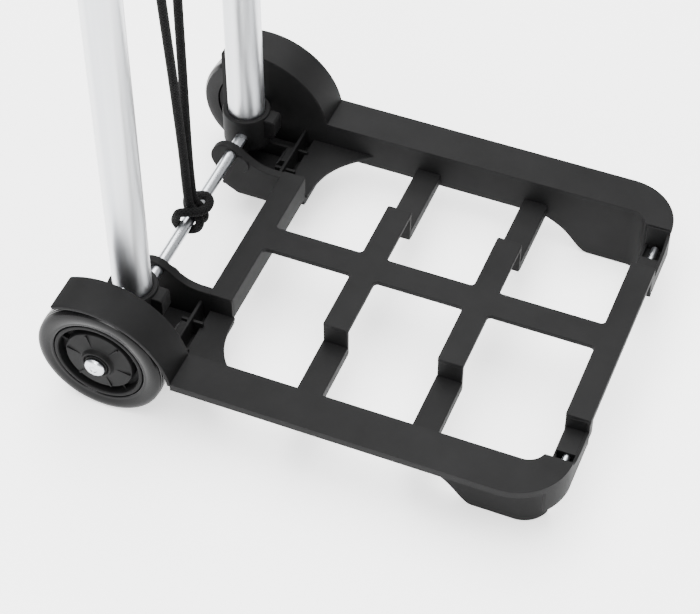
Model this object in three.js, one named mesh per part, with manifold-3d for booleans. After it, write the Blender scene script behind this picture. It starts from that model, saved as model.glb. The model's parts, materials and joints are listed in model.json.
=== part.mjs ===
// Folding platform cart: moulded ladder platform, two fendered wheels, telescoping fold-down mast.
// Millimetres. +Z up, the platform's toe faces -Y, the mast stands at the back (+Y).
// Sizes are set out from a datum; SETTING_OUT then puts the floor at z = 0 and the middle of the cart at y = 0.
import * as THREE from 'three';
import { mergeVertices } from 'three/addons/utils/BufferGeometryUtils.js';
import Module from 'manifold-3d';

const wasm = await Module();
wasm.setup();

// ---------- driving dimensions ----------
const SETTING_OUT = [0, 1.95, -4];     // from the datum to the finished frame
const GAP = 0.3;                       // clearance between neighbouring pieces
const FLOOR = 4;                       // the floor's height over the datum
const HINGE = { y: 120.9, z: 63, r: 4 };
const WHEEL = { y: 128.3, z: 47.1, r: 43.1, rim: 31, in: 117.4, out: 133.5 };
const RAIL = { out: 140.4, in: 112.6, top: 57, skin: 3, lip: 51.5, wall: 29 };
const FRONT = -175.3;                  // y of the platform's front edge
const FENDER = { r: 54.9, skin: 2.8, rear: 63, front: 170 };
const CORNER = { r: 36, inner: 12, band: 17.7 };
const DECK = { top: 55.5, skin: 3.5, low: 39, depth: 8 };
const BARS = {
  rear: { y0: 68.3, y1: 84.6, half: 60.9 },
  mid: { y0: -10.3, y1: 7.0, half: 57 },
  fore: { y0: -87.9, y1: -70.6, half: 57 },
};
const NOSE = { y0: -173.6, y1: -158.7, half: 68.9 };
const SPINE_HALF = 10.1;
const EAR = { in: 54.5, out: 60.6, lobe: 12.2, low: 28, arm: 55 };
const TUBE_X = 88.5;
const TUBE_Y = HINGE.y + 2.7;
const SOCKET = { r: 16.5, bottom: 49, top: 77 };
const STAGES = {
  lower: { r: 12.5, bore: 11.3, z0: 69.5, z1: 398 },
  middle: { r: 11, bore: 9.8, z0: 353, z1: 692 },
  upper: { r: 9.5, bore: 8.2, z0: 652, z1: 950 },
};
const BRIDGE = { height: 26, half: 13.5, reach: 104.5 };
const HANDLE = { z: 966, r: 15, end: 103 };
const CORD = { r: 3, x: -7, hook: -15, top: 378 };
const ROUND = 32;                      // facets of a full turn

// ---------- solid helpers ----------
function solid(geometry) {
  geometry.deleteAttribute('normal');
  geometry.deleteAttribute('uv');
  const g = mergeVertices(geometry, 1e-4);
  const mesh = new wasm.Mesh({
    numProp: 3,
    vertProperties: Float32Array.from(g.attributes.position.array),
    triVerts: Uint32Array.from(g.index.array),
  });
  return new wasm.Manifold(mesh);
}

function join(first, ...rest) {
  return rest.reduce((sum, piece) => sum.add(piece), first);
}

function box(x0, x1, y0, y1, z0, z1) {
  const g = new THREE.BoxGeometry(x1 - x0, y1 - y0, z1 - z0);
  g.translate((x0 + x1) / 2, (y0 + y1) / 2, (z0 + z1) / 2);
  return solid(g);
}

// a flat plan outline in X and Y, raised from z0 to z1
function plan(points, z0, z1) {
  const shape = new THREE.Shape(points.map(([x, y]) => new THREE.Vector2(x, y)));
  const g = new THREE.ExtrudeGeometry(shape, { depth: z1 - z0, bevelEnabled: false });
  g.translate(0, 0, z0);
  return solid(g);
}

// an outline in Y and Z, run across from x0 to x1
function across(points, x0, x1) {
  const shape = new THREE.Shape(points.map(([y, z]) => new THREE.Vector2(y, z)));
  const g = new THREE.ExtrudeGeometry(shape, { depth: x1 - x0, bevelEnabled: false });
  g.applyMatrix4(new THREE.Matrix4().set(0, 0, 1, x0, 1, 0, 0, 0, 0, 1, 0, 0, 0, 0, 0, 1));
  return solid(g);
}

function rodX(r, x0, x1, y, z, facets = ROUND) {
  const g = new THREE.CylinderGeometry(r, r, x1 - x0, facets);
  g.rotateZ(Math.PI / 2);
  g.translate((x0 + x1) / 2, y, z);
  return solid(g);
}

function post(r, x, y, z0, z1, facets = ROUND) {
  const g = new THREE.CylinderGeometry(r, r, z1 - z0, facets);
  g.rotateX(Math.PI / 2);
  g.translate(x, y, (z0 + z1) / 2);
  return solid(g);
}

// a closed [radius, offset] profile turned about the X-wise line through y, z
function turned(profile, y, z, facets = ROUND) {
  const g = new THREE.LatheGeometry(profile.map(([r, t]) => new THREE.Vector2(r, t)), facets);
  g.rotateZ(-Math.PI / 2);
  g.translate(0, y, z);
  return solid(g);
}

function arc(cx, cy, r, from, to, steps) {
  const points = [];
  for (let i = 0; i <= steps; i += 1) {
    const a = THREE.MathUtils.degToRad(from + ((to - from) * i) / steps);
    points.push([cx + r * Math.cos(a), cy + r * Math.sin(a)]);
  }
  return points;
}

function cordAlong(points, r, steps) {
  const path = new THREE.CatmullRomCurve3(points.map((p) => new THREE.Vector3(...p)));
  const ring = new THREE.Shape(arc(0, 0, r, 0, 330, 11).map(([x, y]) => new THREE.Vector2(x, y)));
  return solid(new THREE.ExtrudeGeometry(ring, { steps, extrudePath: path, bevelEnabled: false }));
}

// ---------- materials ----------
const plastic = { color: 0x1b1b1d, roughness: 0.62, metalness: 0 };
const rubber = { color: 0x161617, roughness: 0.5, metalness: 0 };
const drawn = { color: 0xb9bbbf, roughness: 0.34, metalness: 1 };
const zinc = { color: 0xc4c6c9, roughness: 0.28, metalness: 1 };
const elastic = { color: 0x111112, roughness: 0.85, metalness: 0 };
const soft = { color: 0x202022, roughness: 0.8, metalness: 0 };

const cart = new THREE.Group();
cart.name = 'folding_platform_cart';

function add(name, shape, look) {
  const mesh = shape.translate(SETTING_OUT).getMesh();
  const g = new THREE.BufferGeometry();
  const stride = mesh.numProp;
  const count = mesh.vertProperties.length / stride;
  const xyz = new Float32Array(count * 3);
  for (let i = 0; i < count; i += 1) {
    for (let k = 0; k < 3; k += 1) xyz[3 * i + k] = mesh.vertProperties[stride * i + k];
  }
  g.setAttribute('position', new THREE.BufferAttribute(xyz, 3));
  g.setIndex(new THREE.BufferAttribute(Uint32Array.from(mesh.triVerts), 1));
  g.computeVertexNormals();
  const part = new THREE.Mesh(g, new THREE.MeshStandardMaterial(look));
  part.name = name;
  cart.add(part);
}

// the right-hand piece is built at +X and its twin is its mirror image
function addPair(name, shape, look) {
  add(`${name}_right`, shape, look);
  add(`${name}_left`, shape.mirror([1, 0, 0]), look);
}

// ---------- rails, corners with front feet ----------
const cornerX = RAIL.out - CORNER.r;
const cornerY = FRONT + CORNER.r;
const stripY = FRONT + CORNER.band;
const fenderFoot = WHEEL.y - 54.3;     // where the fender rises from the rail
const railSplit = -84;                 // the deep foot starts in front of this y

function railPiece() {
  const { out, in: inner, top, skin, lip, wall } = RAIL;
  const y0 = railSplit + GAP;
  const y1 = fenderFoot - GAP;
  const shelf = box(inner, out, y0, y1, top - skin, top);
  const edge = box(out - skin, out, y0, y1, lip, top - 1);
  const web = box(inner, inner + skin, y0, y1, wall, top - 1);
  return join(shelf, edge, web);
}

function cornerPiece() {
  const { out, in: inner, top, skin, lip, wall } = RAIL;
  const outer = arc(cornerX, cornerY, CORNER.r, 0, -90, 9);
  const bendX = inner - CORNER.inner;
  const bendY = stripY + CORNER.inner;
  const inside = arc(bendX, bendY, CORNER.inner, 0, -70, 6);
  const endX = cornerX - 0.2;
  const shelf = plan([
    [out, railSplit], ...outer, [endX, FRONT], [endX, stripY], ...[...inside].reverse(), [inner, railSplit],
  ], top - skin, top);
  const lipIn = arc(cornerX, cornerY, CORNER.r - skin, -90, 0, 9);
  const rim = plan([
    [out, railSplit], ...outer, [endX, FRONT], [endX, FRONT + skin], ...lipIn, [out - skin, railSplit],
  ], lip, top - 1);
  const webOut = arc(bendX, bendY, CORNER.inner + skin, -70, 0, 6);
  const web = plan([[inner, railSplit], ...inside, ...webOut, [inner + skin, railSplit]], wall, top - 1);
  const footTop = wall + 1;
  const footOut = arc(bendX, bendY, CORNER.inner + 7, -74, 0, 6);
  const foot = plan([[inner, railSplit], ...inside, ...footOut, [inner + 7, railSplit]], FLOOR, footTop + 24);
  const sweep = across([[-84.9, 60], [-83, 60], [-83, 2], [-121, 2], [-121, FLOOR], [-116, 5.4], [-112, 8.6],
    [-107, 14], [-100, 20.8], [-93, 25.6], [-86.5, 28.4], [-85, 29]], 90, 130);
  const skirtIn = arc(cornerX, cornerY, CORNER.r - skin, -90, -48, 6);
  const skirt = plan([[endX, FRONT + skin], [endX, FRONT], ...arc(cornerX, cornerY, CORNER.r, -90, -48, 6),
    ...[...skirtIn].reverse()], 32.6, top - 1);
  return join(shelf, rim, web, foot.subtract(sweep), skirt);
}

addPair('rail', railPiece(), plastic);
addPair('corner', cornerPiece(), plastic);

// ---------- fenders ----------
function fenderPiece() {
  const { r, skin, rear, front } = FENDER;
  const { y, z } = WHEEL;
  const band = [...arc(y, z, r, rear, front, 16), ...arc(y, z, r - skin, front, rear, 16)];
  const shell = across(band, RAIL.in, RAIL.out);
  const face = [...arc(y, z, r - 0.2, rear, front, 16), [fenderFoot + 0.4, RAIL.wall], [y + 20, RAIL.wall],
    [y + 24.9, 40]];
  const wall = across(face, RAIL.in, RAIL.in + skin);
  const bore = rodX(5.2, RAIL.in - 1, RAIL.in + 5, y, z);
  return join(shell, wall).subtract(bore);
}

addPair('fender', fenderPiece(), plastic);

// ---------- hinge brackets: ear, side plate, bay floor, stop rib and catch ----------
function bracketPiece() {
  const { in: x0, out: x1, lobe, low, arm } = EAR;
  const { y } = HINGE;
  const end = BARS.rear.y1 + GAP;
  const ear = across([[end, low], [y - 4, low], [y + 10, 42], ...arc(y + 3, 57.5, lobe, -40, 112, 10),
    [y - 5, 67], [y - 10, 63], [y - 16, 58.8], [y - 23, 55.8], [y - 28, arm], [end, arm]], x0, x1);
  const boss = rodX(7, x0 - 0.8, x0 + 1, y - 6.6, 56.6);
  const bay = box(x1 - 1, RAIL.in - GAP, end, y + 10, low, low + 2.4);
  const rib = box(x1 - 1, RAIL.in - GAP, end + 5, end + 7.5, low, 46);
  const catchBlock = box(79, 94, end + 6, end + 15, 32, 45);
  const bore = rodX(HINGE.r + 0.05, x0 - 2, x1 + 1, HINGE.y, HINGE.z);
  return join(ear, boss, bay, rib, catchBlock).subtract(bore);
}

addPair('bracket', bracketPiece(), plastic);

// ---------- crossbars, spine ----------
const under = DECK.top - DECK.skin;

function lowEnd(bar) {
  const { y0, y1, half } = bar;
  const tread = box(half, RAIL.in - GAP, y0, y1, DECK.low - 2.6, DECK.low);
  const sideA = box(half, RAIL.in - GAP, y0, y0 + 2.4, DECK.low - DECK.depth, DECK.low - 1);
  const sideB = box(half, RAIL.in - GAP, y1 - 2.4, y1, DECK.low - DECK.depth, DECK.low - 1);
  const riser = box(half - 2.6, half, y0, y1, DECK.low - DECK.depth, under - GAP);
  return join(tread, sideA, sideB, riser);
}

function gusset() {
  const { y0, half } = BARS.rear;
  const curve = [[66, -1.4], [75, -2.2], [84, -4.4], [92, -8.2], [99, -13.4], [105, -19.2], [110, -25.4]];
  return plan([[half + 2, y0 + 1], [half + 2, y0 - 1.2], ...curve.map(([x, dy]) => [x, y0 + dy]),
    [RAIL.in - GAP, y0 - 28.9], [RAIL.in - GAP, y0 + 1]], DECK.low - 2.6, DECK.low);
}

addPair('rear_step', lowEnd(BARS.rear).add(gusset()), plastic);
addPair('mid_step', lowEnd(BARS.mid), plastic);
addPair('fore_step', lowEnd(BARS.fore), plastic);

function raisedBar({ y0, y1, half }) {
  return box(-half, half, y0, y1, under, DECK.top);
}

const rearFlanges = join(
  raisedBar(BARS.rear),
  box(-58, 58, BARS.rear.y0, BARS.rear.y0 + 2.8, 36.7, under + 1),
  box(-58, 58, BARS.rear.y1 - 2.8, BARS.rear.y1, 36.7, under + 1),
);
add('rear_bar', rearFlanges, plastic);
add('mid_bar', raisedBar(BARS.mid), plastic);
add('fore_bar', raisedBar(BARS.fore), plastic);

const noseBar = join(
  raisedBar(NOSE),
  box(-NOSE.half, NOSE.half, FRONT, FRONT + 2.6, 49.6, under + 1),
  box(-NOSE.half, NOSE.half, FRONT, NOSE.y1, under, under + 2.2),
);
add('nose_bar', noseBar, plastic);

function noseEnd() {
  const x0 = NOSE.half + GAP;
  const x1 = cornerX - 0.2 - GAP;
  const frontWall = box(x0, x1, FRONT, FRONT + 2.6, 33, 46);
  const rearWall = box(x0, x1, NOSE.y1 - 2.2, NOSE.y1, 30, DECK.low);
  const riser = box(x0, x0 + 2.6, FRONT, NOSE.y1, 30, DECK.top - 1.5);
  const tie = box(x1 - 2.6, x1, FRONT, NOSE.y1, 33, RAIL.top - RAIL.skin - GAP);
  const base = box(x0, x1, FRONT, NOSE.y1, 33, 35.4);
  const bore = rodX(2.9, x0 - 1, x1 + 1, -167.1, 39, 24);
  return join(frontWall, rearWall, riser, tie, base).subtract(bore);
}

addPair('nose_step', noseEnd(), plastic);
add('nose_rod', rodX(2.5, -101, 101, -167.1, 39, 24), zinc);

const spineSpans = [
  ['spine_rear', BARS.mid.y1, BARS.rear.y0],
  ['spine_mid', BARS.fore.y1, BARS.mid.y0],
  ['spine_fore', NOSE.y1, BARS.fore.y0],
];
for (const [name, y0, y1] of spineSpans) {
  add(name, box(-SPINE_HALF, SPINE_HALF, y0 + GAP, y1 - GAP, under, DECK.top), plastic);
}

// ---------- wheels ----------
const stub = join(
  rodX(5, RAIL.in - 0.5, 136.9, WHEEL.y, WHEEL.z, 32),
  rodX(8, RAIL.in + FENDER.skin + GAP, WHEEL.in - 0.4, WHEEL.y, WHEEL.z, 32),
);
addPair('axle', stub, zinc);

const capProfile = [[0, 137.2], [7.4, 137.2], [7.4, 138], [6.4, 139.3], [4, 140], [0, 140.3]];
addPair('axle_cap', turned(capProfile, WHEEL.y, WHEEL.z, 32), zinc);

const tyreProfile = [
  [WHEEL.rim, 119], [37.5, WHEEL.in + 0.2], [41.2, 118.4], [42.8, 120.4], [WHEEL.r, 123], [WHEEL.r, 129.2],
  [42.7, 131.4], [41.2, 133], [38, WHEEL.out], [WHEEL.rim, 133.2], [WHEEL.rim, 119],
];
addPair('tyre', turned(tyreProfile, WHEEL.y, WHEEL.z, 40), rubber);

const rimR = WHEEL.rim - GAP;
const hubProfile = [
  [5.05, 117.6], [10, 117.6], [10, 121], [26.5, 121], [26.5, 119.2], [rimR, 119.2], [rimR, 133.2], [27.5, 133.2],
  [27.5, 127], [23, 131.8], [10.5, 133], [10.5, 136.6], [5.05, 136.6], [5.05, 117.6],
];
addPair('hub', turned(hubProfile, WHEEL.y, WHEEL.z, ROUND), plastic);

// ---------- mast: sockets, three telescoping stages ----------
add('hinge_rod', rodX(HINGE.r, -(RAIL.in - 1), RAIL.in - 1, HINGE.y, HINGE.z, 32), zinc);

function socketPiece() {
  const barrel = post(SOCKET.r, TUBE_X, TUBE_Y, SOCKET.bottom, SOCKET.top);
  const lug = box(82, 94.5, HINGE.y - 20.4, HINGE.y - 9, 60, 75);
  const tubeHole = post(STAGES.lower.r + GAP, TUBE_X, TUBE_Y, STAGES.lower.z0 - GAP, SOCKET.top + 1);
  const bore = rodX(HINGE.r + 0.05, TUBE_X - 30, TUBE_X + 30, HINGE.y, HINGE.z);
  return join(barrel, lug).subtract(tubeHole).subtract(bore);
}

addPair('socket', socketPiece(), plastic);

for (const [name, { r, bore, z0, z1 }] of Object.entries(STAGES)) {
  const tube = post(r, TUBE_X, TUBE_Y, z0, z1).subtract(post(bore, TUBE_X, TUBE_Y, z0 - 1, z1 + 1));
  addPair(`${name}_tube`, tube, drawn);
}

// a bridge clamps both tubes of its stage and lets the next stage slide through
function bridgePiece(z0, grip, slide, tubeTop) {
  const { half, height, reach } = BRIDGE;
  const z1 = z0 + height;
  const middle = TUBE_Y;
  let body = box(-TUBE_X, TUBE_X, middle - half + 4, middle + half - 4, z0, z1);
  for (const side of [-1, 1]) {
    const x = side * TUBE_X;
    body = body.add(post(reach - TUBE_X, x, middle, z0, z1));
  }
  for (const side of [-1, 1]) {
    const x = side * TUBE_X;
    body = body.subtract(post(grip + GAP, x, middle, z0 - 1, tubeTop + GAP));
    body = body.subtract(post(slide + GAP, x, middle, tubeTop, z1 + 1));
  }
  return body;
}

const lowerBridgeZ = STAGES.lower.z1 - 15;
const middleBridgeZ = STAGES.middle.z1 - 15;
add('lower_bridge', bridgePiece(lowerBridgeZ, 12.5, 11, STAGES.lower.z1), plastic);
add('middle_bridge', bridgePiece(middleBridgeZ, 11, 9.5, STAGES.middle.z1), plastic);

// ---------- handle ----------
function handleBody() {
  const { z, r } = HANDLE;
  const bar = rodX(11, -TUBE_X, TUBE_X, TUBE_Y, z);
  let body = bar;
  for (const side of [-1, 1]) {
    body = body.add(post(r, side * TUBE_X, TUBE_Y, 930, z + 12));
    body = body.subtract(post(STAGES.upper.r + GAP, side * TUBE_X, TUBE_Y, 929, STAGES.upper.z1 + GAP));
  }
  return body.subtract(box(-20.3, 20.3, TUBE_Y - 6.3, TUBE_Y + 6.3, z + 2, z + 20));
}

function gripSleeve() {
  const outer = rodX(14, 24, 72.5, TUBE_Y, HANDLE.z);
  return outer.subtract(rodX(11 + GAP, 23, 74, TUBE_Y, HANDLE.z));
}

add('handle', handleBody(), plastic);
addPair('grip', gripSleeve(), soft);
add('release_button', box(-20, 20, TUBE_Y - 6, TUBE_Y + 6, HANDLE.z + 7.3, HANDLE.z + 14), plastic);

// ---------- elastic cord: cow hitch on the hinge rod, two strands up to hooks on the lower bridge ----------
function hitch() {
  const r = HINGE.r + GAP + CORD.r;
  const rings = [-10.5, 10.5].map((dx) => {
    const ring = rodX(r + CORD.r, CORD.x + dx - 3, CORD.x + dx + 3, HINGE.y, HINGE.z, 28);
    return ring.subtract(rodX(HINGE.r + GAP, CORD.x + dx - 4, CORD.x + dx + 4, HINGE.y, HINGE.z, 28));
  });
  const bight = box(CORD.x - 13, CORD.x + 13, HINGE.y - r - 5.6, HINGE.y - r + 0.6, 60, 66);
  return join(rings[0], rings[1], bight);
}

add('cord_hitch', hitch(), elastic);

const strandSpread = [-1, 1];
for (const side of strandSpread) {
  const name = side < 0 ? 'left' : 'right';
  const strand = cordAlong([
    [CORD.x + side * 3.3, HINGE.y - 2, 74.5],
    [CORD.x - 1.6 + side * 3.4, HINGE.y, 115],
    [CORD.x - 3.4 + side * 6, HINGE.y, 170],
    [CORD.x - 5.6 + side * 10.2, HINGE.y, 250],
    [CORD.hook + side * 17, HINGE.y + 2, CORD.top - 12],
  ], CORD.r, 24);
  add(`cord_strand_${name}`, strand, elastic);
  const x = CORD.hook + side * 17;
  const y = HINGE.y + 2;
  const ferrule = post(4.6, x, y, CORD.top - 12 + GAP, lowerBridgeZ - 0.5, 24);
  const stem = box(x - 1.6, x + 1.6, TUBE_Y - 14.6, y, lowerBridgeZ - 3.6, lowerBridgeZ - 0.5);
  const back = box(x - 1.6, x + 1.6, TUBE_Y - 14.6, TUBE_Y - 11.4, lowerBridgeZ - 3.6, lowerBridgeZ + 29.6);
  const over = box(x - 1.6, x + 1.6, TUBE_Y - 14.6, TUBE_Y + 4, lowerBridgeZ + 26.4, lowerBridgeZ + 29.6);
  add(`cord_hook_${name}`, join(ferrule, stem, back, over), zinc);
}

export default cart;
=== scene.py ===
import json
import math

import bmesh
import bpy
from mathutils import Matrix, Vector

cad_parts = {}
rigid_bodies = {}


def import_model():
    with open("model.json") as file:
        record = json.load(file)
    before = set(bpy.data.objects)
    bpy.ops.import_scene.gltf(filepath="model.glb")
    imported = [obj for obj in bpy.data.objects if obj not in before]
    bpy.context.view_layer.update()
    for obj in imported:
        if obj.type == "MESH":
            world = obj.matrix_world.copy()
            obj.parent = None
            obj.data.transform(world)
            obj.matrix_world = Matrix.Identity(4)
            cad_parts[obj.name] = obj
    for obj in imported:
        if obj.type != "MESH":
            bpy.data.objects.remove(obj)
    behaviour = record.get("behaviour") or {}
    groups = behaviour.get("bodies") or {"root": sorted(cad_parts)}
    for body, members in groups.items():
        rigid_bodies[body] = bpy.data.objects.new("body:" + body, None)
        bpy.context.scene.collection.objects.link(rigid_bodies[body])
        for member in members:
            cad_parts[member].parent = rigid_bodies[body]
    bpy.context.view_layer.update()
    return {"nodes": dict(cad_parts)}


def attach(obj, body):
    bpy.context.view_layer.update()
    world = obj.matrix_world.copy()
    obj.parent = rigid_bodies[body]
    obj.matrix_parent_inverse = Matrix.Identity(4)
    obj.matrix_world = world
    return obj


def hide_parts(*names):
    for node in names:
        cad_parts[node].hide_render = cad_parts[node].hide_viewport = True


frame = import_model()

MM = 0.001
SETTING_OUT = Vector((0.0, 1.95, -4.0)) * MM      # from the drawing's datum to the finished frame
HINGE_Y, HINGE_Z = 120.9, 63.0
WHEEL_Y, WHEEL_Z = 128.3, 47.1
RAIL_OUT, RAIL_IN, RAIL_TOP = 140.4, 112.6, 57.0
FRONT = -175.3
DECK_TOP = 55.5
TUBE_X, TUBE_Y = 88.5, HINGE_Y + 2.7
SPINE_HALF = 10.1
CORNER_R, INNER_R, BAND = 36.0, 12.0, 17.7
REAR = (68.3, 84.6, 60.9)
MID = (-10.3, 7.0, 57.0)
FORE = (-87.9, -70.6, 57.0)
NOSE = (-173.6, -158.7, 68.9)
SIDES = ((1, "right"), (-1, "left"))
HINGE_R = 4.0
BORE_GAP = 0.08
NOSE_ROD_R, NOSE_ROD_Y, NOSE_ROD_Z = 2.5, -167.1, 39.0
EASE_ANGLE = 32.0               # edges sharper than this many degrees are eased
CAMERA_PLACE = (-0.8681, -0.33945, 1.0481)
CAMERA_LENS = 107.95


# ---------- camera ----------
def set_camera():
    data = bpy.data.cameras.new("studio_camera")
    data.lens = CAMERA_LENS
    data.sensor_width = 36.0
    data.clip_start = 0.05
    data.clip_end = 30.0
    camera = bpy.data.objects.new("studio_camera", data)
    bpy.context.scene.collection.objects.link(camera)
    right = Vector((0.3765, -0.9264, 0.0))
    back = Vector((-0.6197, -0.2518, 0.7434)).normalized()
    up = back.cross(right).normalized()
    right = up.cross(back).normalized()
    turn = Matrix((right, up, back)).transposed().to_4x4()
    camera.matrix_world = Matrix.Translation(CAMERA_PLACE) @ turn
    bpy.context.scene.camera = camera


set_camera()


# ---------- small mesh tools ----------
def new_piece(name, bm):
    mesh = bpy.data.meshes.new(name)
    bmesh.ops.recalc_face_normals(bm, faces=bm.faces)
    bm.to_mesh(mesh)
    bm.free()
    piece = bpy.data.objects.new(name, mesh)
    bpy.context.scene.collection.objects.link(piece)
    return piece


def prism(points, axis, low, high, soft=0.6):
    """A closed outline in millimetres raised along one axis, its edges eased by soft."""
    bm = bmesh.new()
    turn = {"z": lambda a, b, c: (a, b, c),
            "x": lambda a, b, c: (c, a, b),
            "y": lambda a, b, c: (a, c, b)}[axis]
    rings = [[bm.verts.new([v * MM for v in turn(a, b, c)]) for a, b in points] for c in (low, high)]
    bm.faces.new(rings[0])
    bm.faces.new(rings[1])
    count = len(points)
    for i in range(count):
        j = (i + 1) % count
        bm.faces.new((rings[0][i], rings[0][j], rings[1][j], rings[1][i]))
    bmesh.ops.recalc_face_normals(bm, faces=bm.faces)
    if soft:
        ease(bm, soft)
    return new_piece("part", bm)


def ease(bm, soft):
    limit = math.radians(EASE_ANGLE)
    edges = [e for e in bm.edges if len(e.link_faces) == 2 and e.calc_face_angle(0) > limit]
    bmesh.ops.bevel(bm, geom=edges, offset=soft * MM, offset_type="OFFSET", segments=2, profile=0.5,
                    affect="EDGES", clamp_overlap=True)


def block(x0, x1, y0, y1, z0, z1, soft=0.6):
    return prism([(x0, y0), (x1, y0), (x1, y1), (x0, y1)], "z", z0, z1, soft)


def arc(cx, cy, radius, start, stop, steps):
    points = []
    for i in range(steps + 1):
        a = math.radians(start + (stop - start) * i / steps)
        points.append((cx + radius * math.cos(a), cy + radius * math.sin(a)))
    return points


def turned(profile, centre, axis="x", facets=96):
    """A closed (radius, offset) outline turned about an axis through centre, in millimetres."""
    bm = bmesh.new()
    rings = []
    for i in range(facets):
        a = 2 * math.pi * i / facets
        ring = []
        for radius, offset in profile:
            u, v = radius * math.cos(a), radius * math.sin(a)
            place = (offset, u, v) if axis == "x" else (u, v, offset)
            ring.append(bm.verts.new([(p + c) * MM for p, c in zip(place, centre)]))
        rings.append(ring)
    count = len(profile)
    for i in range(facets):
        for k in range(count):
            m = (k + 1) % count
            a, b = rings[i], rings[(i + 1) % facets]
            bm.faces.new((a[k], a[m], b[m], b[k]))
    bmesh.ops.remove_doubles(bm, verts=bm.verts, dist=1e-7)
    bmesh.ops.dissolve_degenerate(bm, dist=1e-7, edges=bm.edges)
    return new_piece("part", bm)


def rod_x(radius, x0, x1, y, z, facets=64, soft=0.4):
    profile = [(0, x0), (radius - soft, x0), (radius, x0 + soft), (radius, x1 - soft),
               (radius - soft, x1), (0, x1)]
    return turned(profile, (0, y, z), "x", facets)


def post(radius, x, y, z0, z1, facets=96, soft=0.8):
    return turned([(0, z0), (radius - soft, z0), (radius - soft * 0.3, z0 + soft * 0.3), (radius, z0 + soft),
                   (radius, z1 - soft), (radius - soft * 0.3, z1 - soft * 0.3), (radius - soft, z1), (0, z1)],
                  (x, y, 0), "z", facets)


def mesh_with_modifiers(piece):
    shown = piece.evaluated_get(bpy.context.evaluated_depsgraph_get())
    mesh = bpy.data.meshes.new_from_object(shown)
    piece.modifiers.clear()
    old = piece.data
    piece.data = mesh
    bpy.data.meshes.remove(old)
    return piece


def carve(piece, tools, operation):
    """Joins the tools to the piece, or cuts them out of it."""
    group = bpy.data.collections.new("tools")
    bpy.context.scene.collection.children.link(group)
    for tool in tools:
        group.objects.link(tool)
    step = piece.modifiers.new("carve", "BOOLEAN")
    step.operation = operation
    step.solver = "EXACT"
    step.operand_type = "COLLECTION"
    step.collection = group
    mesh_with_modifiers(piece)
    for tool in list(group.objects):
        mesh = tool.data
        bpy.data.objects.remove(tool)
        bpy.data.meshes.remove(mesh)
    bpy.data.collections.remove(group)
    return piece


def joined(name, parts, cuts=()):
    piece = parts[0]
    if len(parts) > 1:
        carve(piece, parts[1:], "UNION")
    if cuts:
        carve(piece, list(cuts), "DIFFERENCE")
    piece.name = name
    piece.data.name = name
    return piece


def finish_piece(piece, material, body, nodes=(), angle=38.0, settle=True):
    mesh = piece.data
    if settle:
        mesh.transform(Matrix.Translation(SETTING_OUT))
    mesh.materials.clear()
    mesh.materials.append(material)
    for face in mesh.polygons:
        face.use_smooth = True
        face.material_index = 0
    mesh.set_sharp_from_angle(angle=math.radians(angle))
    even = piece.modifiers.new("even_flats", "WEIGHTED_NORMAL")
    even.keep_sharp = True
    even.weight = 100
    mesh_with_modifiers(piece)
    if nodes:
        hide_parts(*nodes)
    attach(piece, body)
    return piece


def mirrored(piece):
    bm = bmesh.new()
    bm.from_mesh(piece.data)
    bmesh.ops.scale(bm, vec=(-1, 1, 1), verts=bm.verts)
    bmesh.ops.reverse_faces(bm, faces=bm.faces)
    mesh = bpy.data.meshes.new(piece.name)
    bm.to_mesh(mesh)
    bm.free()
    twin = bpy.data.objects.new(piece.name, mesh)
    bpy.context.scene.collection.objects.link(twin)
    return twin


def from_node(node, soft=0.6):
    """A merged copy of a CAD node with its edges eased."""
    bm = bmesh.new()
    bm.from_mesh(frame["nodes"][node].data)
    bmesh.ops.remove_doubles(bm, verts=bm.verts, dist=2e-6)
    bmesh.ops.dissolve_limit(bm, angle_limit=math.radians(1.0), verts=bm.verts, edges=bm.edges)
    if soft:
        ease(bm, soft)
    return new_piece(node + "_shape", bm)


# ---------- materials ----------
class Recipe:
    def __init__(self, name):
        self.material = bpy.data.materials.new(name)
        self.material.use_nodes = True
        self.tree = self.material.node_tree
        self.shader = self.tree.nodes["Principled BSDF"]
        self.coords = self.tree.nodes.new("ShaderNodeTexCoord")

    def node(self, kind, **values):
        made = self.tree.nodes.new(kind)
        for key, value in values.items():
            if key in made.inputs:
                made.inputs[key].default_value = value
            else:
                setattr(made, key, value)
        return made

    def link(self, a, b):
        self.tree.links.new(a, b)

    def placed(self, scale=(1, 1, 1)):
        place = self.node("ShaderNodeMapping")
        place.inputs["Scale"].default_value = scale
        self.link(self.coords.outputs["Object"], place.inputs["Vector"])
        return place.outputs["Vector"]

    def noise(self, scale, detail=3.0, rough=0.5, stretch=(1, 1, 1)):
        made = self.node("ShaderNodeTexNoise", Scale=scale, Detail=detail, Roughness=rough)
        self.link(self.placed(stretch), made.inputs["Vector"])
        return made.outputs["Fac"]

    def ramp(self, source, stops):
        made = self.node("ShaderNodeValToRGB")
        band = made.color_ramp
        while len(band.elements) < len(stops):
            band.elements.new(0.5)
        for element, (where, value) in zip(band.elements, stops):
            element.position = where
            colour = value if isinstance(value, tuple) else (value, value, value)
            element.color = (*colour, 1.0)
        self.link(source, made.inputs["Fac"])
        return made.outputs["Color"]

    def bump(self, height, strength, distance, before=None):
        made = self.node("ShaderNodeBump", Strength=strength, Distance=distance)
        self.link(height, made.inputs["Height"])
        if before is not None:
            self.link(before, made.inputs["Normal"])
        return made.outputs["Normal"]


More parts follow.
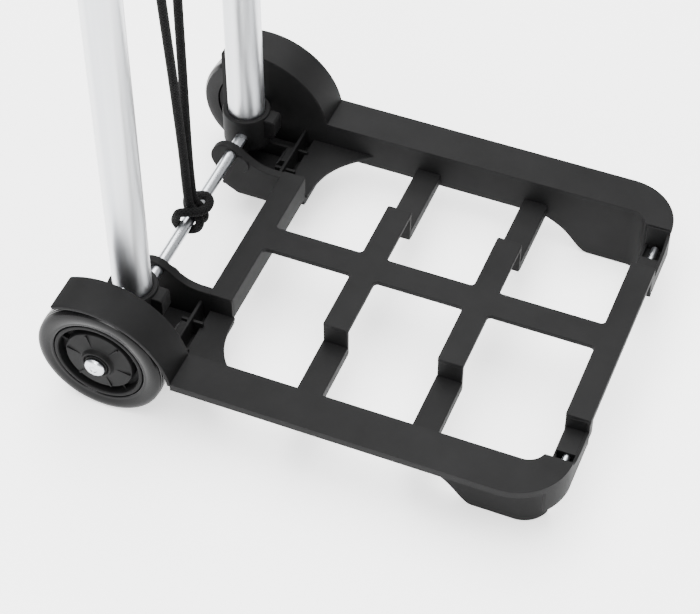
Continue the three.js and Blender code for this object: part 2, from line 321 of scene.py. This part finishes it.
def moulded_plastic(name="moulded_plastic", dark=0.0028, light=0.0046, rough=(0.58, 0.68), grain=1400.0):
    r = Recipe(name)
    patches = r.noise(28.0, 4.0, 0.6)
    r.link(r.ramp(patches, [(0.3, (dark, dark, dark * 1.04)), (0.7, (light, light, light * 1.04))]),
           r.shader.inputs["Base Color"])
    handling = r.noise(9.0, 5.0, 0.65)
    r.link(r.ramp(handling, [(0.35, rough[0]), (0.68, rough[1])]), r.shader.inputs["Roughness"])
    fine = r.noise(grain, 2.0, 0.6)
    coarse = r.noise(grain * 0.4, 1.0, 0.5)
    first = r.bump(coarse, 0.25, 0.00008)
    r.link(r.bump(fine, 0.5, 0.00006, first), r.shader.inputs["Normal"])
    r.shader.inputs["Specular IOR Level"].default_value = 0.12
    return r.material


def tyre_rubber():
    r = Recipe("tyre_rubber")
    patches = r.noise(45.0, 4.0, 0.6)
    r.link(r.ramp(patches, [(0.3, (0.002, 0.002, 0.0022)), (0.72, (0.004, 0.004, 0.0042))]),
           r.shader.inputs["Base Color"])
    r.link(r.ramp(r.noise(60.0, 3.0, 0.6), [(0.3, 0.2), (0.7, 0.27)]), r.shader.inputs["Roughness"])
    r.link(r.bump(r.noise(900.0, 2.0, 0.5), 0.3, 0.00005), r.shader.inputs["Normal"])
    r.shader.inputs["Specular IOR Level"].default_value = 0.12
    return r.material


def drawn_tube():
    r = Recipe("drawn_tube")
    lines = r.noise(900.0, 2.0, 0.6, (1, 1, 0.012))
    broad = r.noise(75.0, 2.0, 0.5, (1, 1, 0.01))
    r.link(r.ramp(broad, [(0.34, (0.46, 0.48, 0.51)), (0.62, (0.70, 0.71, 0.72))]),
           r.shader.inputs["Base Color"])
    r.link(r.ramp(lines, [(0.25, 0.30), (0.75, 0.38)]), r.shader.inputs["Roughness"])
    r.link(r.bump(lines, 0.12, 0.00003), r.shader.inputs["Normal"])
    r.shader.inputs["Metallic"].default_value = 1.0
    return r.material


def zinc_plate():
    r = Recipe("zinc_plate")
    r.link(r.ramp(r.noise(220.0, 4.0, 0.6), [(0.3, (0.55, 0.57, 0.60)), (0.7, (0.61, 0.63, 0.66))]),
           r.shader.inputs["Base Color"])
    r.link(r.ramp(r.noise(400.0, 3.0, 0.6), [(0.3, 0.26), (0.7, 0.32)]), r.shader.inputs["Roughness"])
    r.link(r.bump(r.noise(700.0, 2.0, 0.5), 0.05, 0.00002), r.shader.inputs["Normal"])
    r.shader.inputs["Metallic"].default_value = 1.0
    return r.material


def elastic_braid():
    """Two crossing sets of bands on the cord's own length (u, in metres) and turn (v, 0 to 1)."""
    r = Recipe("elastic_braid")
    split = r.node("ShaderNodeSeparateXYZ")
    r.link(r.coords.outputs["UV"], split.inputs[0])
    bands = []
    for way in (1.0, -1.0):
        length = r.node("ShaderNodeMath", operation="MULTIPLY")
        r.link(split.outputs["X"], length.inputs[0])
        length.inputs[1].default_value = 2 * math.pi * 420.0
        turn = r.node("ShaderNodeMath", operation="MULTIPLY_ADD")
        r.link(split.outputs["Y"], turn.inputs[0])
        turn.inputs[1].default_value = way * 2 * math.pi * 7.0
        r.link(length.outputs[0], turn.inputs[2])
        wave = r.node("ShaderNodeMath", operation="SINE")
        r.link(turn.outputs[0], wave.inputs[0])
        bands.append(wave.outputs[0])
    weave = r.node("ShaderNodeMath", operation="MAXIMUM")
    r.link(bands[0], weave.inputs[0])
    r.link(bands[1], weave.inputs[1])
    r.link(r.ramp(weave.outputs[0], [(0.1, (0.001, 0.001, 0.0011)), (0.95, (0.004, 0.004, 0.0042))]),
           r.shader.inputs["Base Color"])
    r.link(r.bump(weave.outputs[0], 0.8, 0.0003), r.shader.inputs["Normal"])
    r.shader.inputs["Roughness"].default_value = 0.8
    r.shader.inputs["Sheen Weight"].default_value = 0.02
    r.shader.inputs["Specular IOR Level"].default_value = 0.1
    return r.material


def soft_grip():
    return moulded_plastic("soft_grip", 0.003, 0.005, (0.66, 0.8), 2200.0)


plastic = moulded_plastic()
rubber = tyre_rubber()
tube_metal = drawn_tube()
zinc = zinc_plate()
braid = elastic_braid()
grip_rubber = soft_grip()


# ---------- elastic cord ----------
CORD_R = 3.0
CORD_X = -7.0
LOOP_LOW, LOOP_HIGH = 9.5, 12.0
LOOP_TILT = 0.28                # how far the bight leans along the rod


def smooth_path(points, per_span=6):
    """Points on a smooth curve through the given ones."""
    out = []
    count = len(points)
    for i in range(count - 1):
        p = [Vector(points[max(0, min(count - 1, i + k))]) for k in (-1, 0, 1, 2)]
        for s in range(per_span):
            t = s / per_span
            out.append(0.5 * ((2 * p[1]) + (p[2] - p[0]) * t + (2 * p[0] - 5 * p[1] + 4 * p[2] - p[3]) * t * t
                              + (3 * p[1] - p[0] - 3 * p[2] + p[3]) * t ** 3))
    out.append(Vector(points[-1]))
    return out


def cord_tube(name, points, radius, facets=20):
    """A round cord along points in millimetres, with its length and turn as its UV map."""
    bm = bmesh.new()
    uv = bm.loops.layers.uv.new("UVMap")
    path = smooth_path(points)
    last = len(path) - 1
    tangents = [(path[min(i + 1, last)] - path[max(i - 1, 0)]).normalized() for i in range(len(path))]
    side = tangents[0].orthogonal().normalized()
    rings, along = [], [0.0]
    for i, (at, tangent) in enumerate(zip(path, tangents)):
        side = (side - tangent * side.dot(tangent)).normalized()
        other = tangent.cross(side)
        if i:
            along.append(along[-1] + (at - path[i - 1]).length)
        ring = []
        for k in range(facets):
            a = 2 * math.pi * k / facets
            ring.append(bm.verts.new((at + (side * math.cos(a) + other * math.sin(a)) * radius) * MM))
        rings.append(ring)
    for i in range(len(rings) - 1):
        for k in range(facets):
            m = (k + 1) % facets
            face = bm.faces.new((rings[i][k], rings[i][m], rings[i + 1][m], rings[i + 1][k]))
            places = ((i, k), (i, k + 1), (i + 1, k + 1), (i + 1, k))
            for loop, (a, b) in zip(face.loops, places):
                loop[uv].uv = (along[a] * MM, b / facets)
    bm.faces.new(list(reversed(rings[0])))
    bm.faces.new(rings[-1])
    return new_piece(name, bm)


def half_hitch(side):
    """One half of the cow hitch, from the hook down to the middle of the bight."""
    offsets = [
        (17, 2, 303), (13.6, 0.9, 250), (9.8, 0.2, 187), (6.2, -0.2, 122), (3.4, -0.4, 62), (3.1, -0.4, 34),
        (3.1, -0.8, 16), (3.2, -3.0, 9), (3.4, -6.2, 4.2), (3.8, -7.2, -1.4), (4.6, -5.0, -6.2),
        (6.2, 0.2, -7.8), (7.8, 5.4, -5.6), (9.0, 7.8, -0.2), (9.8, 6.4, 5.4),
        (10.0, 1.2, 9.6), (9.0, -4.6, 11.6),
        (5.6, -9.2, 11.0), (0, -10.8, 10.2),
    ]
    lean = {303: -8.0, 250: -7.2, 187: -6.2, 122: -4.6, 62: -3.2, 34: -2.4, 16: -1.4}
    points = []
    for x, y, z in offsets:
        tilt = LOOP_TILT * side * x if LOOP_LOW < z < LOOP_HIGH else 0.0
        points.append((CORD_X + lean.get(z, 0.0) + side * x, HINGE_Y + y - tilt, HINGE_Z + z))
    return points


def make_cord():
    right, left = half_hitch(1), half_hitch(-1)
    cord = cord_tube("elastic_cord", right + list(reversed(left))[1:], CORD_R)
    nodes = ("cord_hitch", "cord_strand_left", "cord_strand_right")
    finish_piece(cord, braid, "mast", nodes, 60.0)


make_cord()


# ---------- moulded platform ----------
def rail_parts():
    """The right rail with its corner, lip, web, foot and front skirt."""
    cx, cy = RAIL_OUT - CORNER_R, FRONT + CORNER_R
    bx, by = RAIL_IN - INNER_R, FRONT + BAND + INNER_R
    back_y = WHEEL_Y - 53.6
    outer = arc(cx, cy, CORNER_R, 0, -90, 20)
    inner = arc(bx, by, INNER_R, -70, 0, 12)
    web_out = arc(bx, by, INNER_R + 3, 0, -70, 12)
    shelf = [(RAIL_OUT, back_y)] + outer + [(cx - 0.2, FRONT), (cx - 0.2, FRONT + BAND)] + inner \
        + [(RAIL_IN, back_y)]
    lip_in = arc(cx, cy, CORNER_R - 3, -90, 0, 20)
    lip_out = arc(cx, cy, CORNER_R - 0.08, 0, -90, 20)
    lip = [(RAIL_OUT - 0.08, back_y)] + lip_out + [(cx - 0.1, FRONT + 0.08), (cx - 0.1, FRONT + 3)] + lip_in \
        + [(RAIL_OUT - 3, back_y)]
    web = [(RAIL_IN + 0.1, back_y)] + [(x + 0.1, y - 0.02) for x, y in reversed(inner)] \
        + list(reversed(web_out)) + [(RAIL_IN + 3, back_y)]
    foot_y = -86.0
    foot_out = arc(bx, by, INNER_R + 7, 0, -74, 12)
    foot = [(RAIL_IN + 0.06, foot_y)] + [(x + 0.06, y) for x, y in reversed(inner)] \
        + list(reversed(foot_out)) + [(RAIL_IN + 7, foot_y)]
    sweep = [(-80, 60), (-80, 0), (-123, 0), (-121, 4), (-118, 4.3), (-115, 5.8), (-112, 8.2), (-109, 11.4),
             (-106, 15), (-103, 18.3), (-100, 21), (-97, 23.2), (-93, 25.6), (-89.5, 27.4), (-85, 29.0),
             (-84.9, 60)]
    foot_part = carve(prism(foot, "z", 4, 53, 1.2), [prism(sweep, "x", 90, 130, 0)], "DIFFERENCE")
    skirt_plan = arc(cx, cy, CORNER_R - 0.15, -91, -48, 12) + arc(cx, cy, CORNER_R - 3.1, -48, -91, 12)
    skirt = prism(skirt_plan, "z", 32.6, RAIL_TOP - 1, 0.8)
    return [prism(shelf, "z", RAIL_TOP - 3, RAIL_TOP, 0.8), prism(lip, "z", 51.5, RAIL_TOP - 0.7, 0.6),
            prism(web, "z", 29, RAIL_TOP - 0.7, 0.5), foot_part, skirt]


def step_parts(bar):
    """One crossbar's low right-hand end: tread, side walls and riser."""
    y0, y1, half = bar
    far = RAIL_IN + 1.5
    return [block(half - 1.5, far, y0, y1, 36.4, 39, 0.5),
            block(half - 1.3, far - 0.1, y0 + 0.07, y0 + 2.4, 31, 38.5, 0.5),
            block(half - 1.3, far - 0.1, y1 - 2.4, y1 - 0.07, 31, 38.5, 0.5),
            block(half - 3, half - 0.22, y0 + 0.25, y1 - 0.25, 31, DECK_TOP - 0.9, 0.6)]


def gusset_part():
    y0, _, half = REAR
    curve = [(66, -1.4), (70.5, -1.7), (75, -2.2), (79.5, -3.1), (84, -4.4), (88, -6.1), (92, -8.2),
             (95.6, -10.6), (99, -13.4), (102.1, -16.2), (105, -19.2), (107.8, -22.4),
             (110.4, -26), (RAIL_IN + 1.5, -31)]
    points = [(x, y0 + dy) for x, dy in curve]
    return prism([(half - 1, y0 + 2), (half - 1, y0 - 1.2)] + points + [(RAIL_IN + 1.5, y0 + 2)], "z",
                 36.5, 38.95, 0.4)


def ladder_side():
    """The right-hand outline of the raised ladder, from the nose to the rear bar."""
    points = []
    bars = ((FRONT, NOSE[1], NOSE[2]), FORE, MID, REAR)
    tip, bend = 1.4, 2.6
    for i, (y0, y1, half) in enumerate(bars):
        if i:
            points += arc(SPINE_HALF + bend, y0 - bend, bend, 180, 90, 5)
        points += arc(half - tip, y0 + tip, tip, -90, 0, 4) + arc(half - tip, y1 - tip, tip, 0, 90, 4)
        if i < len(bars) - 1:
            points += arc(SPINE_HALF + bend, y1 + bend, bend, 270, 180, 5)
    return points


def bar_parts():
    """The raised ladder in one outline, with the walls under its rear and nose bars."""
    side = ladder_side()
    outline = side + [(-x, y) for x, y in reversed(side)]
    parts = [prism(outline, "z", 52, DECK_TOP, 0.6)]
    parts.append(block(-58.5, 58.5, REAR[0] + 0.07, REAR[0] + 2.8, 36.7, 54.2, 0.5))
    parts.append(block(-58.5, 58.5, REAR[1] - 2.8, REAR[1] - 0.07, 36.7, 54.2, 0.5))
    parts.append(block(-NOSE[2] + 0.3, NOSE[2] - 0.3, FRONT + 0.07, FRONT + 2.6, 49.6, 54.2, 0.5))
    for x in (-34, 0, 34):
        parts.append(block(x - 1, x + 1, REAR[0] + 1, REAR[1] - 1, 38.5, 53, 0.3))
    return parts


def nose_end_parts():
    _, high, half = NOSE
    end = RAIL_OUT - CORNER_R + 1.5
    front = [(half - 1, 33), (end, 33), (end, 55.2), (end - 5, 51), (end - 11, 47.4), (end - 20, 45.6),
             (half - 1, 45.2)]
    return [prism(front, "y", FRONT + 0.2, FRONT + 2.4, 0.5),
            block(half - 1.2, end, high - 2.2, high - 0.1, 30, 39, 0.5),
            block(half - 3, half - 0.25, FRONT + 0.5, high - 0.25, 30, DECK_TOP - 0.9, 0.6),
            block(end - 2.6, end + 0.6, FRONT + 0.5, high - 0.3, 32.8, 55.6, 0.5),
            block(half - 1.4, end - 0.3, FRONT + 1, high - 0.5, 33.1, 35.4, 0.3),
            block(half - 1.6, end - 18, FRONT + 1.5, high - 1, 33.3, 43.2, 0.8),
            block(half - 7, half + 0.5, FRONT + 0.1, FRONT + 2.7, 37, 53, 0.7)]


def fender_parts():
    y, z = WHEEL_Y, WHEEL_Z
    band = arc(y, z, 54.9, 63, 172, 40) + arc(y, z, 52.1, 172, 63, 40)
    face = arc(y, z, 54.4, 63, 172, 40) + [(WHEEL_Y - 54.3, 29), (y + 20, 29), (y + 24.9, 40)]
    boss = rod_x(12, RAIL_IN - 1.2, RAIL_IN + 3.4, y, z)
    return [prism(band, "x", RAIL_IN + 0.1, RAIL_OUT - 0.05, 0.9),
            prism(face, "x", RAIL_IN, RAIL_IN + 3, 0.6), boss]


def bracket_parts():
    """Ear plate with its boss and arm, bay floor, ribs and catch of the right hinge bracket."""
    x0, x1, end = 54.5, 60.6, REAR[1] - 1
    y = HINGE_Y
    lobe = arc(y + 3, 57.5, 12.2, -40, 112, 30)
    side = [(end, 28), (y - 4, 28), (y + 5, 33), (y + 10, 42)] + lobe \
        + [(y - 5, 67), (y - 7.6, 65.0), (y - 10, 63), (y - 13, 60.8), (y - 16, 58.9), (y - 19.4, 57.1),
           (y - 23, 55.8), (y - 28, 55.0), (end, 54.9)]
    boss = rod_x(7.0, x0 - 0.8, x0 + 1, y - 6.6, 56.6, 48, 0.4)
    bay = block(x1 - 1, RAIL_IN + 1, end, y + 10, 28.1, 30.4, 0.4)
    rib = block(x1 - 1, RAIL_IN + 1, end + 6, end + 8.2, 29, 46, 0.5)
    catch_face = [(end + 7, 32), (end + 16, 32), (end + 16, 39), (end + 12, 45), (end + 7, 45)]
    catch = prism(catch_face, "x", 79.5, 93.5, 0.7)
    fin = block(74.2, 76.4, end - 1, end + 14, 29, 43, 0.5)
    wall = block(96.5, 98.7, end - 1, y + 6, 29, 41, 0.5)
    return [prism(side, "x", x0, x1, 0.8), boss, bay, rib, catch, fin, wall]


def make_platform():
    half = rail_parts() + step_parts(REAR) + step_parts(MID) + step_parts(FORE) + [gusset_part()]
    half += nose_end_parts() + fender_parts() + bracket_parts()
    parts = bar_parts() + half + [mirrored(p) for p in half]
    cuts = [rod_x(HINGE_R + BORE_GAP, -66, 66, HINGE_Y, HINGE_Z, 48),
            rod_x(NOSE_ROD_R + 0.2, -103, 103, NOSE_ROD_Y, NOSE_ROD_Z, 32)]
    piece = joined("platform_moulding", parts, cuts)
    bm = bmesh.new()
    bm.from_mesh(piece.data)
    bmesh.ops.remove_doubles(bm, verts=bm.verts, dist=1e-6)
    bm.to_mesh(piece.data)
    bm.free()
    nodes = ["rear_bar", "mid_bar", "fore_bar", "nose_bar", "spine_rear", "spine_mid", "spine_fore"]
    for kind in ("rail", "corner", "fender", "bracket", "rear_step", "mid_step", "fore_step", "nose_step"):
        nodes += [f"{kind}_left", f"{kind}_right"]
    finish_piece(piece, plastic, "platform", nodes, 40.0)


make_platform()


# ---------- rods and axle ends ----------
def make_rods():
    hinge = rod_x(HINGE_R, -111.6, 111.6, HINGE_Y, HINGE_Z, 64, 0.6)
    finish_piece(joined("hinge_bar", [hinge]), zinc, "platform", ("hinge_rod",), 50.0)
    stiffener = rod_x(NOSE_ROD_R, -101, 101, NOSE_ROD_Y, NOSE_ROD_Z, 40, 0.4)
    finish_piece(joined("nose_stiffener", [stiffener]), zinc, "platform", ("nose_rod",), 50.0)
    cap = [(0, 137.25), (6.8, 137.25), (6.9, 138.0), (6.7, 138.6), (6.2, 139.3), (5, 139.8), (3.6, 140.2),
           (2.7, 140.2), (2.3, 139.6), (1.2, 139.3), (0, 139.2)]
    stub = [(0, 112.3), (5, 112.3), (5, 115.9), (8, 115.9), (8, 117.0), (5, 117.0), (5, 136.5), (4.6, 136.9),
            (0, 136.9)]
    for side, word in SIDES:
        for name, profile, node in (("axle_dome", cap, "axle_cap"), ("stub_axle", stub, "axle")):
            outline = [(r, side * t) for r, t in profile]
            piece = joined(f"{name}_{word}", [turned(outline, (0, WHEEL_Y, WHEEL_Z), "x", 64)])
            finish_piece(piece, zinc, "platform", (f"{node}_{word}",), 40.0)


make_rods()


# ---------- wheels ----------
def rib_tree():
    """Small upright ribs set round a wheel's axis, all of one size."""
    tree = bpy.data.node_groups.new("ribs_round_axis", "GeometryNodeTree")
    face = tree.interface
    face.new_socket("Geometry", in_out="OUTPUT", socket_type="NodeSocketGeometry")
    for label, kind in (("Count", "NodeSocketInt"), ("Radius", "NodeSocketFloat"),
                        ("Size", "NodeSocketVector"),
                        ("Centre", "NodeSocketVector"), ("Start", "NodeSocketFloat"),
                        ("Material", "NodeSocketMaterial")):
        face.new_socket(label, in_out="INPUT", socket_type=kind)
    nodes, links = tree.nodes, tree.links
    given = nodes.new("NodeGroupInput")
    result = nodes.new("NodeGroupOutput")
    points = nodes.new("GeometryNodeMeshLine")
    cube = nodes.new("GeometryNodeMeshCube")
    index = nodes.new("GeometryNodeInputIndex")
    step = nodes.new("ShaderNodeMath")
    step.operation = "DIVIDE"
    step.inputs[0].default_value = 2 * math.pi
    angle = nodes.new("ShaderNodeMath")
    angle.operation = "MULTIPLY_ADD"
    place = nodes.new("ShaderNodeCombineXYZ")
    cosine, sine = nodes.new("ShaderNodeMath"), nodes.new("ShaderNodeMath")
    cosine.operation, sine.operation = "COSINE", "SINE"
    out_y, out_z = nodes.new("ShaderNodeMath"), nodes.new("ShaderNodeMath")
    out_y.operation = out_z.operation = "MULTIPLY"
    put = nodes.new("ShaderNodeVectorMath")
    put.operation = "ADD"
    moved = nodes.new("GeometryNodeSetPosition")
    copies = nodes.new("GeometryNodeInstanceOnPoints")
    spin = nodes.new("ShaderNodeCombineXYZ")
    real = nodes.new("GeometryNodeRealizeInstances")
    paint = nodes.new("GeometryNodeSetMaterial")
    links.new(given.outputs["Count"], points.inputs["Count"])
    links.new(given.outputs["Count"], step.inputs[1])
    links.new(index.outputs[0], angle.inputs[0])
    links.new(step.outputs[0], angle.inputs[1])
    links.new(given.outputs["Start"], angle.inputs[2])
    links.new(angle.outputs[0], cosine.inputs[0])
    links.new(angle.outputs[0], sine.inputs[0])
    for part, source, socket in ((out_y, cosine, "Y"), (out_z, sine, "Z")):
        links.new(source.outputs[0], part.inputs[0])
        links.new(given.outputs["Radius"], part.inputs[1])
        links.new(part.outputs[0], place.inputs[socket])
    links.new(place.outputs[0], put.inputs[0])
    links.new(given.outputs["Centre"], put.inputs[1])
    links.new(points.outputs[0], moved.inputs["Geometry"])
    links.new(put.outputs[0], moved.inputs["Position"])
    links.new(moved.outputs[0], copies.inputs["Points"])
    links.new(given.outputs["Size"], cube.inputs["Size"])
    links.new(cube.outputs["Mesh"], copies.inputs["Instance"])
    links.new(angle.outputs[0], spin.inputs["X"])
    links.new(spin.outputs[0], copies.inputs["Rotation"])
    links.new(copies.outputs[0], real.inputs[0])
    links.new(real.outputs[0], paint.inputs["Geometry"])
    links.new(given.outputs["Material"], paint.inputs["Material"])
    links.new(paint.outputs[0], result.inputs[0])
    return tree


RIBS = rib_tree()


def ribs_round_axis(name, count, radius, size, centre, start, material):
    holder = bpy.data.objects.new(name, bpy.data.meshes.new(name))
    bpy.context.scene.collection.objects.link(holder)
    maker = holder.modifiers.new("ribs", "NODES")
    maker.node_group = RIBS
    values = {"Count": count, "Radius": radius * MM, "Size": [v * MM for v in size],
              "Centre": [v * MM for v in centre], "Start": start, "Material": material}
    for item in RIBS.interface.items_tree:
        if item.in_out == "INPUT":
            maker[item.identifier] = values[item.name]
    holder.update_tag()
    return mesh_with_modifiers(holder)


def tyre_profile():
    """Radius and offset round the tyre's section: tread, three fine shoulder ridges, sidewall and bead."""
    tread = [(42.2, 119.9), (42.8, 121.0), (43.05, 122.2), (43.1, 126.4)]
    for x, top in ((127.6, 43.1), (129.4, 43.0), (131.2, 42.8)):
        tread += [(top, x - 0.5), (top - 0.9, x - 0.35), (top - 0.9, x + 0.15), (top - 0.1, x + 0.4)]
    tread += [(42.5, 132.2), (41.9, 133.0), (40.9, 133.7), (39.4, 134.2), (37.6, 134.3), (35.8, 134.1),
              (34.2, 133.7),
              (33.4, 133.4), (32.8, 133.5), (32.0, 133.4), (31.5, 133.0), (31.1, 132.3)]
    return [(31.1, 119.4), (31.6, 118.2), (34.5, 117.6), (38.4, 117.5), (41, 118.1)] + tread


def hub_profile():
    return [(5.08, 117.7), (11, 117.7), (11, 121), (25, 121), (25, 119.3), (30.8, 119.3), (30.8, 132.6),
            (30.5, 133.2), (29.6, 133.5), (28.5, 133.3), (28.0, 132.7), (27.7, 126.0), (23.7, 126.0),
            (23.4, 131.2), (22.8, 132.0), (18, 132.5), (14, 132.9), (11.4, 133.3), (10.8, 133.9),
            (10.4, 135.6), (9.9, 136.1), (9.0, 136.2), (8.6, 135.8), (8.4, 134.2), (7.9, 134.2), (7.7, 136.1),
            (7.3, 136.5), (5.08, 136.5)]


def make_wheel(side, word):
    centre = (0, WHEEL_Y, WHEEL_Z)
    tyre_section = [(r, side * t) for r, t in tyre_profile()]
    tyre = joined(f"tyre_tread_{word}", [turned(tyre_section, centre, "x", 144)])
    finish_piece(tyre, rubber, f"wheel_{word}", (f"tyre_{word}",), 35.0)
    hub_section = [(r, side * t) for r, t in hub_profile()]
    hub = joined(f"hub_disc_{word}", [turned(hub_section, centre, "x", 128)])
    finish_piece(hub, plastic, f"wheel_{word}", (f"hub_{word}",), 35.0)
    bridges = ribs_round_axis(f"hub_bridges_{word}", 5, 25.7, (4.0, 4.8, 1.3),
                              (side * 127.4, WHEEL_Y, WHEEL_Z), 0.35, plastic)
    lines = ribs_round_axis(f"hub_lines_{word}", 6, 16.8, (0.9, 11.0, 1.1),
                            (side * 132.75, WHEEL_Y, WHEEL_Z), 0.2, plastic)
    for piece in (bridges, lines):
        finish_piece(piece, plastic, f"wheel_{word}", (), 35.0)


for wheel_side, wheel_word in SIDES:
    make_wheel(wheel_side, wheel_word)


# ---------- mast ----------
def make_sockets():
    for side, word in SIDES:
        x = side * TUBE_X
        shell = [(0, 49), (14.8, 49), (16.2, 50.2), (16.5, 52), (16.5, 75.6), (16.1, 76.6), (15.3, 77),
                 (13.6, 77),
                 (12.9, 76.5), (12.75, 75.8), (12.75, 69.3), (0, 69.3)]
        barrel = turned(shell, (x, TUBE_Y, 0), "z", 96)
        low, high = sorted((side * 82.3, side * 94.3))
        lug = prism([(HINGE_Y - 20.4, 62), (HINGE_Y - 10, 58), (HINGE_Y - 10, 75), (HINGE_Y - 19, 75),
                     (HINGE_Y - 20.4, 73.6)], "x", low, high, 0.8)
        hollow = post(12.7, x, TUBE_Y, 69.3, 80, 96, 0.2)
        bore = rod_x(HINGE_R + BORE_GAP, *sorted((side * 60, side * 118)), HINGE_Y, HINGE_Z, 48, 0.2)
        piece = joined(f"tube_socket_{word}", [barrel, lug], [hollow, bore])
        finish_piece(piece, plastic, "mast", (f"socket_{word}",), 40.0)


def make_tubes():
    stages = (("lower_tube", 12.5, 11.3, 69.5, 398, "mast"),
              ("middle_tube", 11, 9.8, 353, 692, "middle_stage"),
              ("upper_tube", 9.5, 8.2, 652, 950, "handle_stage"))
    for node, radius, bore, low, high, body in stages:
        for side, word in SIDES:
            profile = [(bore, low + 0.2), (bore + 0.2, low), (radius - 0.2, low), (radius, low + 0.2),
                       (radius, high - 0.2), (radius - 0.2, high), (bore + 0.2, high), (bore, high - 0.2)]
            piece = joined(f"{node}_{word}_drawn", [turned(profile, (side * TUBE_X, TUBE_Y, 0), "z", 128)])
            finish_piece(piece, tube_metal, body, (f"{node}_{word}",), 40.0)


def make_rivets():
    """One small round-headed rivet low on the outer face of each lower tube."""
    for side, word in SIDES:
        reach = TUBE_X + 12.3
        head = [(0, reach), (1.7, reach), (1.6, reach + 0.5), (1.1, reach + 0.9), (0, reach + 1.05)]
        section = [(r, side * t) for r, t in head]
        piece = joined(f"tube_rivet_{word}", [turned(section, (0, TUBE_Y, 84), "x", 24)])
        finish_piece(piece, zinc, "mast", (), 40.0)


def make_upper_fittings():
    for node, body, soft in (("lower_bridge", "mast", 1.2), ("middle_bridge", "middle_stage", 1.2),
                             ("handle", "handle_stage", 1.0), ("release_button", "release_button", 1.0)):
        piece = from_node(node, soft)
        finish_piece(piece, plastic, body, (node,), 40.0, settle=False)
    for _, word in SIDES:
        finish_piece(from_node(f"grip_{word}", 1.0), grip_rubber, "handle_stage", (f"grip_{word}",), 40.0,
                     settle=False)
        finish_piece(from_node(f"cord_hook_{word}", 0.4), zinc, "mast", (f"cord_hook_{word}",), 40.0,
                     settle=False)


make_sockets()
make_tubes()
make_rivets()
make_upper_fittings()


# ---------- studio ----------
def make_studio():
    bm = bmesh.new()
    bmesh.ops.create_grid(bm, x_segments=8, y_segments=8, size=4.0)
    floor = new_piece("studio_floor", bm)
    if floor.data.polygons[0].normal.z < 0:
        floor.data.flip_normals()
    r = Recipe("studio_white")
    r.link(r.ramp(r.noise(3.0, 2.0, 0.5), [(0.3, (0.92, 0.92, 0.922)), (0.7, (0.95, 0.95, 0.95))]),
           r.shader.inputs["Base Color"])
    r.shader.inputs["Roughness"].default_value = 0.7
    r.shader.inputs["Specular IOR Level"].default_value = 0.12
    r.shader.inputs["Emission Color"].default_value = (1.0, 1.0, 1.0, 1.0)
    r.shader.inputs["Emission Strength"].default_value = 1.2
    floor.data.materials.append(r.material)
    world = bpy.data.worlds.new("studio_world")
    world.use_nodes = True
    world.node_tree.nodes["Background"].inputs["Color"].default_value = (1.0, 1.0, 1.0, 1.0)
    world.node_tree.nodes["Background"].inputs["Strength"].default_value = 0.6
    bpy.context.scene.world = world
    lamps = (("over_soft", (-0.1, 0.1, 2.6), (0, 0, 0), 3.0, 260.0),
             ("sheen_soft", (1.9, 0.75, 2.1), (0, 0, 0), 1.9, 70.0),
             ("left_strip", (-1.9, 0.2, 0.8), (0, 0.1, 0.3), 0.6, 34.0),
             ("front_soft", (0.5, -2.6, 1.2), (0, 0, 0.2), 1.2, 16.0))
    for name, place, aim, size, power in lamps:
        data = bpy.data.lights.new(name, "AREA")
        data.shape = "SQUARE"
        data.size = size
        data.energy = power
        lamp = bpy.data.objects.new(name, data)
        lamp.location = place
        lamp.rotation_euler = (Vector(aim) - Vector(place)).to_track_quat("-Z", "Y").to_euler()
        bpy.context.scene.collection.objects.link(lamp)


make_studio()
